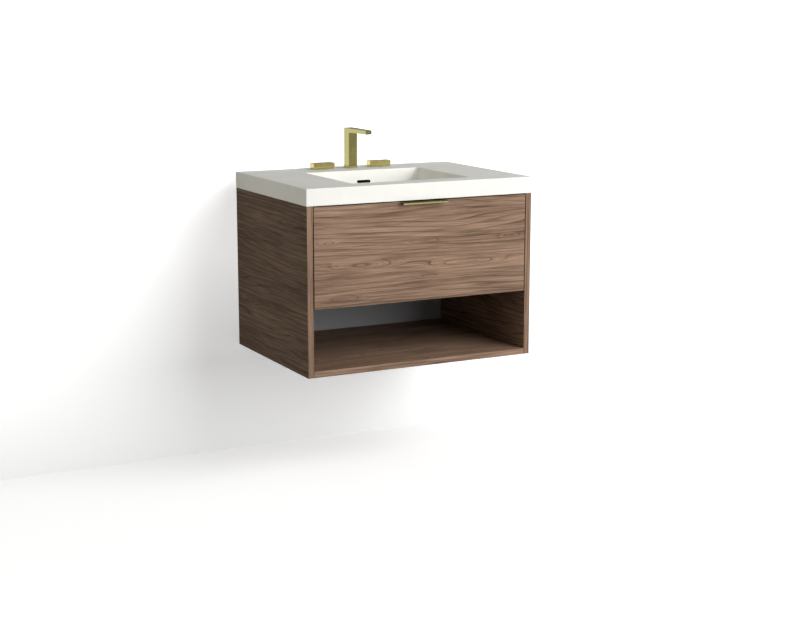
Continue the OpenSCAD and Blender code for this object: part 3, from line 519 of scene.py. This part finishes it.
def rod(start, end, radius, segments=64):
    """A closed cylinder between two points."""
    start, end = Vector(start), Vector(end)
    shape = bmesh.new()
    turn = (end - start).to_track_quat("Z", "Y").to_matrix().to_4x4()
    bmesh.ops.create_cone(
        shape, cap_ends=True, segments=segments, radius1=radius, radius2=radius,
        depth=(end - start).length, matrix=Matrix.Translation((start + end) / 2) @ turn,
    )
    return shape


def cutter(shape):
    return finish_piece("cutter", shape)


def bore(piece, start, end, radius):
    """Drills a round hole from start to end."""
    carve(piece, cutter(rod(start, end, radius)))


def install(piece, body, *nodes, finish_slot):
    """Hangs a piece on its body, in place of the plain solids."""
    flatten_shading(piece)
    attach(piece, body)
    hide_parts(*nodes)
    return piece


def rounded_sheet(shape, width, depth, radius, middle, turns):
    """Adds a level rectangle with rounded corners."""
    sheet = bmesh.ops.create_grid(shape, x_segments=1, y_segments=1, size=0.5)["verts"]
    bmesh.ops.scale(shape, vec=(width, depth, 1), verts=sheet)
    bmesh.ops.translate(shape, vec=middle, verts=sheet)
    bmesh.ops.bevel(shape, geom=sheet, offset=radius, segments=turns,
                    profile=0.5, affect="VERTICES", material=-1)


def rounded_slab(width, depth, radius, middle, low, high, turns=6):
    """A block with four rounded upright corners."""
    shape = bmesh.new()
    rounded_sheet(shape, width, depth, radius, (*middle, low), turns)
    pull_out(shape, shape.faces[:], (0, 0, high - low))
    return shape


def swept(side, half):
    """A side outline in millimetres, swept along X to both sides of the middle."""
    shape = bmesh.new()
    shape.faces.new([shape.verts.new((-half * mm, y * mm, z * mm)) for y, z in side])
    pull_out(shape, shape.faces[:], (2 * half * mm, 0, 0))
    bmesh.ops.recalc_face_normals(shape, faces=shape.faces)
    return shape


# ---- Walnut cabinet ----

def veneer_front_edge(shape):
    """Gives the faces that look into the room the piece's second finish."""
    for face in shape.faces:
        face.material_index = 1 if face.normal.y < -0.6 else 0


def side_panel(side):
    """A side panel with its rabbet for the bay's back, and its front edge veneered upright."""
    rabbet_x, rabbet_z, rabbet_y = bay_half_width + 9.2 * mm, 225 * mm, -6 * mm
    shape = block((bay_half_width, cabinet_front, 0), (cabinet_half_width, rabbet_y, cabinet_height))
    saw(shape, (0, 0, rabbet_z), (0, 0, 1))
    saw(shape, (rabbet_x, 0, 0), (1, 0, 0))
    back = [f for f in shape.faces if f.normal.y > 0.9]
    keep = [f for f in back if f.calc_center_median().x > rabbet_x or f.calc_center_median().z > rabbet_z]
    pull_out(shape, keep, (0, -rabbet_y, 0))
    tidy_flats(shape)
    ease(shape, 0.6 * mm)
    veneer_front_edge(shape)
    if side == "left":
        bmesh.ops.scale(shape, vec=(-1, 1, 1), verts=shape.verts)
    piece = finish_piece("side_panel_" + side + "_veneered", shape, side_walnut[side], edge_walnut[side])
    install(piece, "cabinet", "side_panel_" + side, finish_slot="walnut")


def shelf(name, low, high, finish, node):
    """A level panel between the sides."""
    shape = block(low, high)
    ease(shape, 0.5 * mm)
    veneer_front_edge(shape)
    install(finish_piece(name, shape, finish, level_edge_walnut), "cabinet", node, finish_slot="walnut")


def drawer_face():
    """The drawer front, let in along its upper edge for the pull's plate."""
    notch_half, notch_depth = 75.7 * mm, 1.6 * mm
    shape = block((-358 * mm, cabinet_front, 203.5 * mm), (358 * mm, -527 * mm, 503.4 * mm))
    for x in (-notch_half, notch_half):
        saw(shape, (x, 0, 0), (1, 0, 0))
    ends = [f for f in shape.faces if f.normal.z > 0.9 and abs(f.calc_center_median().x) > notch_half]
    pull_out(shape, ends, (0, 0, notch_depth))
    tidy_flats(shape)
    ease(shape, 0.5 * mm)
    install(finish_piece("drawer_face_veneered", shape, front_walnut), "drawer", "drawer_front",
            finish_slot="walnut")


side_panel("left")
side_panel("right")
shelf("bay_floor_veneered", (-bay_half_width, cabinet_front, 0), (bay_half_width, -6 * mm, 19 * mm),
      shelf_walnut, "bottom_panel")
shelf("deck_veneered", (-bay_half_width, -525 * mm, 206 * mm), (bay_half_width, -6 * mm, 225 * mm),
      deck_walnut, "deck_panel")
drawer_face()


def pull():
    """Brass strip bent over the drawer front: lip, plate and rear flange. It takes the lighter,
    painted-light copy of the brass, and the plate's top is painted shade.
    """
    half_width, thickness, bend_radius = 75.5 * mm, 1.6 * mm, 2.2 * mm
    shape = bmesh.new()
    outline = [(-566, 498), (-566, 505), (-525.4, 505), (-525.4, 485)]
    points = [shape.verts.new((-half_width, y * mm, z * mm)) for y, z in outline]
    strip = [shape.edges.new(pair) for pair in zip(points, points[1:])]
    made = bmesh.ops.extrude_edge_only(shape, edges=strip)["geom"]
    bmesh.ops.translate(shape, vec=(2 * half_width, 0, 0),
                        verts=[v for v in made if isinstance(v, bmesh.types.BMVert)])
    bends = [e for e in shape.edges if len(e.link_faces) == 2]
    bmesh.ops.bevel(shape, geom=bends, offset=bend_radius, segments=6,
                    profile=0.5, affect="EDGES", material=-1)
    bmesh.ops.recalc_face_normals(shape, faces=shape.faces)
    if max(shape.faces, key=lambda f: f.calc_area()).normal.z < 0:
        bmesh.ops.reverse_faces(shape, faces=shape.faces)
    bmesh.ops.solidify(shape, geom=shape.faces[:], thickness=thickness)
    ease(shape, 0.3 * mm, edges=sharp_edges(shape, 50))
    # The plate's upward faces turn near-black: painted shade for the gap under the top's front edge.
    for face in shape.faces:
        if face.normal.z > 0.35 and face.calc_center_median().z > 503 * mm:
            face.material_index = 1
    install(finish_piece("pull_bent", shape, painted_light_brass, painted_shade_brass), "drawer", "edge_pull",
            finish_slot="brass")


pull()


# ---- Top with its basin ----

def ring(shape, width, depth, radius, height, turns=9):
    """Adds a level loop of edges: a rectangle with rounded corners."""
    before = set(shape.edges)
    rounded_sheet(shape, width, depth, radius, (0, 0, height), turns)
    bmesh.ops.delete(shape, geom=shape.faces[:], context="FACES_ONLY")
    return [e for e in shape.edges if e not in before]


def basin_levels(grow):
    """(width, depth, corner radius, height) from the rim down to the drain's seat, in millimetres.

    The drafted walls come first, then the curved foot, then the floor that falls to the seat. grow pushes
    all of it out and down, for the underside.
    """
    mouth_width, mouth_depth, draft, foot_radius, foot_floor = 398, 336, 26, 36, 437.8
    seat, seat_radius, floor_fall = 78, 38.99, 6
    levels = []
    for step in range(7):
        share = step / 6
        levels.append((mouth_width - draft * share, mouth_depth - draft * share, 10 + 32 * share,
                       558.8 - 85 * share))
    for step in range(1, 11):
        turn = math.radians(9 * step)
        inset = draft / 2 + foot_radius * (1 - math.cos(turn))
        levels.append((mouth_width - 2 * inset, mouth_depth - 2 * inset, 42 + 20 * math.sin(turn),
                       foot_floor + foot_radius * (1 - math.sin(turn))))
    width, depth, radius, height = levels[-1]
    for step in range(1, 6):
        share = step / 5
        fall = floor_fall * share * share * (3 - 2 * share)
        levels.append((width + (seat - width) * share, depth + (seat - depth) * share,
                       radius + (seat_radius - radius) * share, height - fall))
    return [(w + 2 * grow, d + 2 * grow, r + grow, z - grow) for w, d, r, z in levels]


def vanity_top():
    """One casting: slab, skirt and basin from a stack of loops, then the overflow and the faucet's holes.

    Each loop is (width, depth, corner radius, height, middle) in millimetres. The loops are bridged while
    they stand apart, and only then moved to their heights.
    """
    shape = bmesh.new()
    slab, bowl, apart, wall = -273, -306, 0.05, 12
    rings = [(760, 544, 1.0, 508, slab), (761.4, 545.4, 1.2, 508.3, slab), (762, 546, 1.5, 509, slab),
             (762, 546, 1.5, 557.2, slab), (761.6, 545.6, 1.5, 558.0, slab),
             (760.5, 544.5, 1.5, 558.6, slab), (759, 543, 1.5, 558.8, slab),
             (402, 340, 11, 558.8, bowl), (400.2, 338.2, 10.6, 558.5, bowl),
             (398.6, 336.6, 10.2, 557.6, bowl)]
    rings += [(*level, bowl) for level in basin_levels(0)[1:]]
    rings += [(45, 45, 22.49, 431.8, bowl), (45, 45, 22.49, 403.8, bowl), (78, 78, 38.99, 403.8, bowl),
              (78, 78, 38.99, 419.8, bowl)]
    under = [level for level in reversed(basin_levels(wall)) if level[3] < 538]
    rings += [(*level, bowl) for level in under]
    rings += [(421, 359, 22, 538.8, bowl), (722, 506, 2, 538.8, slab), (722, 506, 2, 509, slab),
              (723, 507, 2, 508, slab)]
    loops = [ring(shape, width * mm, depth * mm, radius * mm, step * apart)
             for step, (width, depth, radius, *_) in enumerate(rings)]
    for first, second in zip(loops, loops[1:] + loops[:1]):
        bmesh.ops.bridge_loops(shape, edges=first + second)
    for step, (loop, (*_, height, middle)) in enumerate(zip(loops, rings)):
        corners = list({v for e in loop for v in e.verts})
        bmesh.ops.translate(shape, vec=(0, middle * mm, height * mm - step * apart), verts=corners)
    top = finish_piece("vanity_top_cast", shape, white)

    duct_walls = [(-276, 403.8), (-115.1, 403.8), (-115.1, 539.5), (-132, 539.5), (-145, 461.8),
                  (-155.5, 442.3), (-181, 430), (-258, 426), (-276, 426)]
    carve(top, cutter(swept(duct_walls, 30)), "UNION")
    duct_hollow = [(-300, 409.8), (-121.1, 409.8), (-121.1, 527.3), (-131.1, 527.3), (-131.1, 419.8),
                   (-300, 419.8)]
    carve(top, cutter(swept(duct_hollow, 24)))
    slot = rounded_slab(48 * mm, 9 * mm, 4.49 * mm, (0, 0), 0, 24 * mm, turns=8)
    bmesh.ops.rotate(slot, cent=(0, 0, 0), verts=slot.verts,
                     matrix=Matrix.Rotation(math.radians(-90), 3, "X"))
    bmesh.ops.translate(slot, vec=(0, -153 * mm, 522.8 * mm), verts=slot.verts)
    carve(top, cutter(slot))
    for x in (-handle_reach, 0, handle_reach):
        bore(top, (x, faucet_line, 530 * mm), (x, faucet_line, 565 * mm), 17.5 * mm)
    # The slot's and duct's inner faces turn near-black: painted shade in the overflow.
    top.data.materials.append(duct_painted_shade)
    for face in top.data.polygons:
        corners = [top.data.vertices[index].co / mm for index in face.vertices]
        in_slot = all(abs(x) < 24.3 and -150 < y < -121 and 480 < z < 528 for x, y, z in corners)
        in_duct = all(abs(x) < 24.3 and -131.5 < y < -121 and 405 < z < 528 for x, y, z in corners)
        face.material_index = 1 if in_slot or in_duct else 0
    soften(top.data, 28)
    install(top, "cabinet", "vanity_top", finish_slot="solid_surface")


vanity_top()


# ---- Faucet ----

def spout():
    """Square column with an arm that narrows to its tip, seamless and lightly eased."""
    column_front, tip, arm_underside, arm_middle = -66.5 * mm, -182 * mm, 673.3 * mm, 680.8 * mm
    column_width, tip_width = 30 * mm, 21 * mm
    shape = block((-column_width / 2, column_front, 566.8 * mm),
                  (column_width / 2, -29.5 * mm, 687.8 * mm))
    saw(shape, (0, 0, arm_underside), (0, 0, 1))
    face = [f for f in shape.faces if f.normal.y < -0.9 and f.calc_center_median().z > arm_underside]
    arm_end = pull_out(shape, face, (0, tip - column_front, 0))[0]
    bmesh.ops.scale(shape, vec=(tip_width / column_width, 1, 1), verts=arm_end.verts)
    low = [v for v in arm_end.verts if v.co.z < arm_middle]
    bmesh.ops.translate(shape, vec=(0, 0, 1.5 * mm), verts=low)
    tidy_flats(shape)
    ease(shape, 0.8 * mm, 3)
    piece = finish_piece("spout_polished", shape, brass)
    column, seat = (0, faucet_line), (0, -170.5 * mm)
    bore(piece, (*column, 566 * mm), (*column, 578.8 * mm), 11.1 * mm)
    bore(piece, (*column, 577 * mm), (*column, 679 * mm), 4.5 * mm)
    bore(piece, (0, -44.3 * mm, arm_middle), (0, -172.3 * mm, arm_middle), 4.48 * mm)
    bore(piece, (*seat, 670 * mm), (*seat, 679.8 * mm), 7.6 * mm)
    soften(piece.data, 35)
    install(piece, "cabinet", "spout", finish_slot="brass")


def spout_foot():
    """The flange under the spout's column."""
    shape = rounded_slab(32.4 * mm, 39.4 * mm, 1 * mm, (0, faucet_line), top_surface, 566.8 * mm, turns=4)
    ease(shape, 0.5 * mm, 2)
    piece = finish_piece("spout_foot", shape, brass)
    bore(piece, (0, faucet_line, 555 * mm), (0, faucet_line, 570 * mm), 11.1 * mm)
    install(piece, "cabinet", "spout_base", finish_slot="brass")


def lever(side, body):
    """A solid block handle on its plinth."""
    x = -handle_reach if side == "left" else handle_reach
    foot = rounded_slab(71 * mm, 30 * mm, 3.5 * mm, (x, faucet_line), top_surface, 562.8 * mm)
    ease(foot, 0.4 * mm, 2)
    piece = finish_piece("plinth_" + side, foot, brass)
    bore(piece, (x, faucet_line, 555 * mm), (x, faucet_line, 565 * mm), 13 * mm)
    install(piece, "cabinet", "handle_plinth_" + side, finish_slot="brass")
    bar = rounded_slab(75 * mm, 34 * mm, 3.5 * mm, (x, faucet_line), 563.1 * mm, 578.6 * mm)
    ease(bar, 0.5 * mm, 2)
    # The handle takes the lighter copy of the brass, not the plinth's: painted light.
    piece = finish_piece("lever_" + side, bar, painted_light_brass)
    bore(piece, (x, faucet_line, 560 * mm), (x, faucet_line, 572.2 * mm), 5.1 * mm)
    install(piece, body, "handle_" + side, finish_slot="brass")


spout()
spout_foot()
lever("left", "hot_handle")
lever("right", "cold_handle")


def turned(outline, segments=72):
    """A profile of (radius, height) in millimetres, spun about the drain's axis."""
    shape = bmesh.new()
    middle = Vector((0, basin_middle, 0))
    points = [shape.verts.new(middle + Vector((r * mm, 0, z * mm))) for r, z in outline]
    edges = [shape.edges.new(pair) for pair in zip(points, points[1:])]
    bmesh.ops.spin(shape, geom=points + edges, cent=middle, axis=(0, 0, 1),
                   angle=math.tau, steps=segments, use_merge=True)
    bmesh.ops.remove_doubles(shape, verts=shape.verts, dist=1e-6)
    return shape


def stopper():
    """Domed cap with a rolled edge on its stem."""
    dome = [(20.4, 434.3), (20.3, 434.75), (19.9, 435.1), (19.2, 435.35), (16, 435.65), (11, 435.92),
            (5, 436.06), (0, 436.1)]
    outline = [(0, 389.8), (3.4, 389.8), (4, 390.4), (4, 431.3), (18.6, 431.3), (20.1, 433.2)] + dome
    install(finish_piece("stopper_domed", turned(outline), brass), "stopper", "drain_stopper",
            finish_slot="brass")


stopper()


# ---- Drawer box, rails and fittings ----

def dress(finish, *nodes):
    """Gives a finish to solids that are shown as they are."""
    for node in nodes:
        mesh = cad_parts[node].data
        mesh.materials.clear()
        mesh.materials.append(finish)


def sanded(node, body, width, finish, finish_slot):
    """The solid's own shape, with its sharp edges broken as they are after sanding."""
    shape = bmesh.new()
    shape.from_mesh(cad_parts[node].data)
    bmesh.ops.remove_doubles(shape, verts=shape.verts, dist=2e-6)
    bmesh.ops.dissolve_limit(shape, angle_limit=math.radians(1), verts=shape.verts, edges=shape.edges)
    long_edges = [e for e in sharp_edges(shape, 60) if e.calc_length() > 6 * mm]
    ease(shape, width, 1, long_edges)
    install(finish_piece(node + "_eased", shape, finish), body, node, finish_slot=finish_slot)


def ply_board(node, body, along, layers, shift):
    finish = birch_ply("ply_" + node, along, layers, shift)
    sanded(node, body, 0.6 * mm, finish, "birch")


for side, shift in (("left", 0.4), ("right", 1.9)):
    ply_board("drawer_side_" + side, "drawer", "Y", "X", (shift, 0.0002, 0.3))
    ply_board("drawer_back_" + side, "drawer", "X", "Y", (shift, 0.0005, 0.9))
    ply_board("notch_side_" + side, "drawer", "Y", "X", (shift, 0.001, 1.4))
    dress(steel, "cabinet_rail_" + side, "middle_rail_" + side, "drawer_rail_" + side)
    dress(zinc, "outer_cage_" + side, "inner_cage_" + side)
    dress(brass, "valve_body_" + side)
    dress(screw_steel, "valve_stem_" + side)
ply_board("drawer_subfront", "drawer", "X", "Y", (0.7, 0.0, 0.5))
ply_board("notch_front", "drawer", "X", "Y", (2.7, 0.001, 0.2))
ply_board("drawer_bottom", "drawer", "X", "Z", (1.2, 0.001, 0.8))
ply_board("upper_hanging_rail", "cabinet", "X", "Y", (0.2, 0.001, 1.8))
ply_board("lower_hanging_rail", "cabinet", "X", "Y", (1.6, 0.001, 2.3))
ply_board("front_stretcher", "cabinet", "X", "Z", (0.2, 0.001, 2.2))
sanded("back_panel", "cabinet", 0.3 * mm, bay_back, "back_grey")
dress(peg_wood, "carcass_dowels", "drawer_dowels")
dress(screw_steel, "cabinet_rail_screws", "drawer_rail_screws", "front_fixing_screws", "aerator")
dress(brass, "pull_screws", "drain_body", "drain_nut", "tailpiece", "spout_shank", "faucet_nuts")
dress(rubber, "drain_gasket", "stopper_seal", "faucet_washers")


# ---- Stage and lights ----

floor_level, wall_plane, wall_top, reach = -0.35, 1 * mm, 4, 6


def backdrop(name, corners, glow, mirrored):
    """A pale sheet that shows its shadow and is clear from behind.

    glow is added where it is seen, rising from the foot up; above the top's height a crest of painted light
    washes out the faucet's shadow on the wall. mirrored is what a glossy face sees of it beside the
    cabinet, for above the top such a face looks past it into the sky.
    """
    shape = bmesh.new()
    shape.faces.new([shape.verts.new(corner) for corner in corners])
    finish = Finish(name)
    finish.set(Roughness=0.9, Specular_IOR_Level=0.0, Base_Color=grey(0.86))
    ray = finish.add("LightPath").outputs
    where = finish.add("NewGeometry").outputs
    height = finish.split(where["Position"])["Z"]
    rise = finish.span(height, floor_level, 0.3, *glow)
    # Painted light above the top's height, which washes out the faucet's shadow on the wall.
    painted_light_crest = finish.span(height, 0.50, 0.59, 0.0, 0.4)
    added = finish.lit("Emission", finish.math("ADD", rise, painted_light_crest))
    seen = finish.summed(finish.shader.outputs[0], added)
    dull = finish.add("BsdfDiffuse")
    dull.inputs["Color"].default_value = grey(0.36)
    shine = finish.lit("Emission", finish.math("MULTIPLY", ray["Is Glossy Ray"], mirrored))
    shown = finish.mixed(ray["Is Camera Ray"], finish.summed(dull.outputs[0], shine), seen)
    above_top = finish.span(height, 0.56, 0.59, 0.0, 1.0)
    above_top = finish.math("MULTIPLY", above_top, ray["Is Glossy Ray"])
    touching = finish.math("LESS_THAN", ray["Ray Length"], 4 * mm)
    touching = finish.math("MULTIPLY", touching, finish.math("SUBTRACT", 1.0, ray["Is Camera Ray"]))
    clear = finish.math("MAXIMUM", finish.math("MAXIMUM", where["Backfacing"], touching), above_top)
    surface = finish.mixed(clear, shown, finish.add("BsdfTransparent").outputs[0])
    finish.wire(surface, finish.tree.nodes["Material Output"].inputs["Surface"])
    mesh = bpy.data.meshes.new(name)
    shape.to_mesh(mesh)
    shape.free()
    mesh.materials.append(finish.material)
    sheet = bpy.data.objects.new(name, mesh)
    bpy.context.scene.collection.objects.link(sheet)


backdrop("wall_sheet", [(-reach, wall_plane, floor_level), (reach, wall_plane, floor_level),
                        (reach, wall_plane, wall_top), (-reach, wall_plane, wall_top)],
         (0.21, 0.60), 0.72)
backdrop("floor_sheet", [(-reach, -reach, floor_level), (reach, -reach, floor_level),
                         (reach, wall_plane, floor_level), (-reach, wall_plane, floor_level)],
         (0.43, 0.43), 0.05)


def lamp(name, place, aim, size, power, warmth=(1, 1, 1)):
    """A soft rectangular lamp that shows in no glossy face."""
    data = bpy.data.lights.new(name, "AREA")
    data.shape = "RECTANGLE"
    data.size, data.size_y = size
    data.energy = power
    data.color = warmth
    light = bpy.data.objects.new(name, data)
    light.location = place
    light.rotation_euler = (Vector(aim) - Vector(place)).to_track_quat("-Z", "Y").to_euler()
    light.visible_glossy = False
    bpy.context.scene.collection.objects.link(light)


lamp("key", (3.1, -4.9, 2.6), (0, -0.3, 0.25), (5.5, 4.6), 490)
lamp("fill", (-4.8, -0.5, 1.5), (0, -0.3, 0.5), (2.5, 2.0), 42, (1, 0.95, 0.70))


def sky():
    """White where it is seen itself, and dim, fading upwards, in the light that it gives.

    A glossy face that looks past the wall sees it pale below eye level and dark above.
    """
    world = bpy.data.worlds.new("studio")
    bpy.context.scene.world = world
    world.use_nodes = True
    nodes = Nodes(world.node_tree)
    nodes.tree.nodes.clear()
    ray = nodes.add("LightPath").outputs
    way = nodes.split(nodes.add("TexCoord").outputs["Generated"])
    given = nodes.span(way["Z"], 0.0, 0.9, 0.27, 0.10)
    past_wall = nodes.span(way["Z"], 0.0, 0.06, 0.84, 0.22)
    mirrored = nodes.math("MULTIPLY", nodes.math("GREATER_THAN", way["Y"], 0.0), ray["Is Glossy Ray"])
    level = nodes.add("Mix")
    sockets = [level.inputs[name] for name in ("Factor", "A", "B")]
    nodes.feed(sockets, (mirrored, given, past_wall))
    dim = nodes.lit("Background", level.outputs["Result"])
    shown = nodes.mixed(ray["Is Camera Ray"], dim, nodes.lit("Background", 1.0))
    nodes.wire(shown, nodes.add("OutputWorld").inputs["Surface"])


sky()
bpy.context.scene.view_settings.view_transform = "Standard"
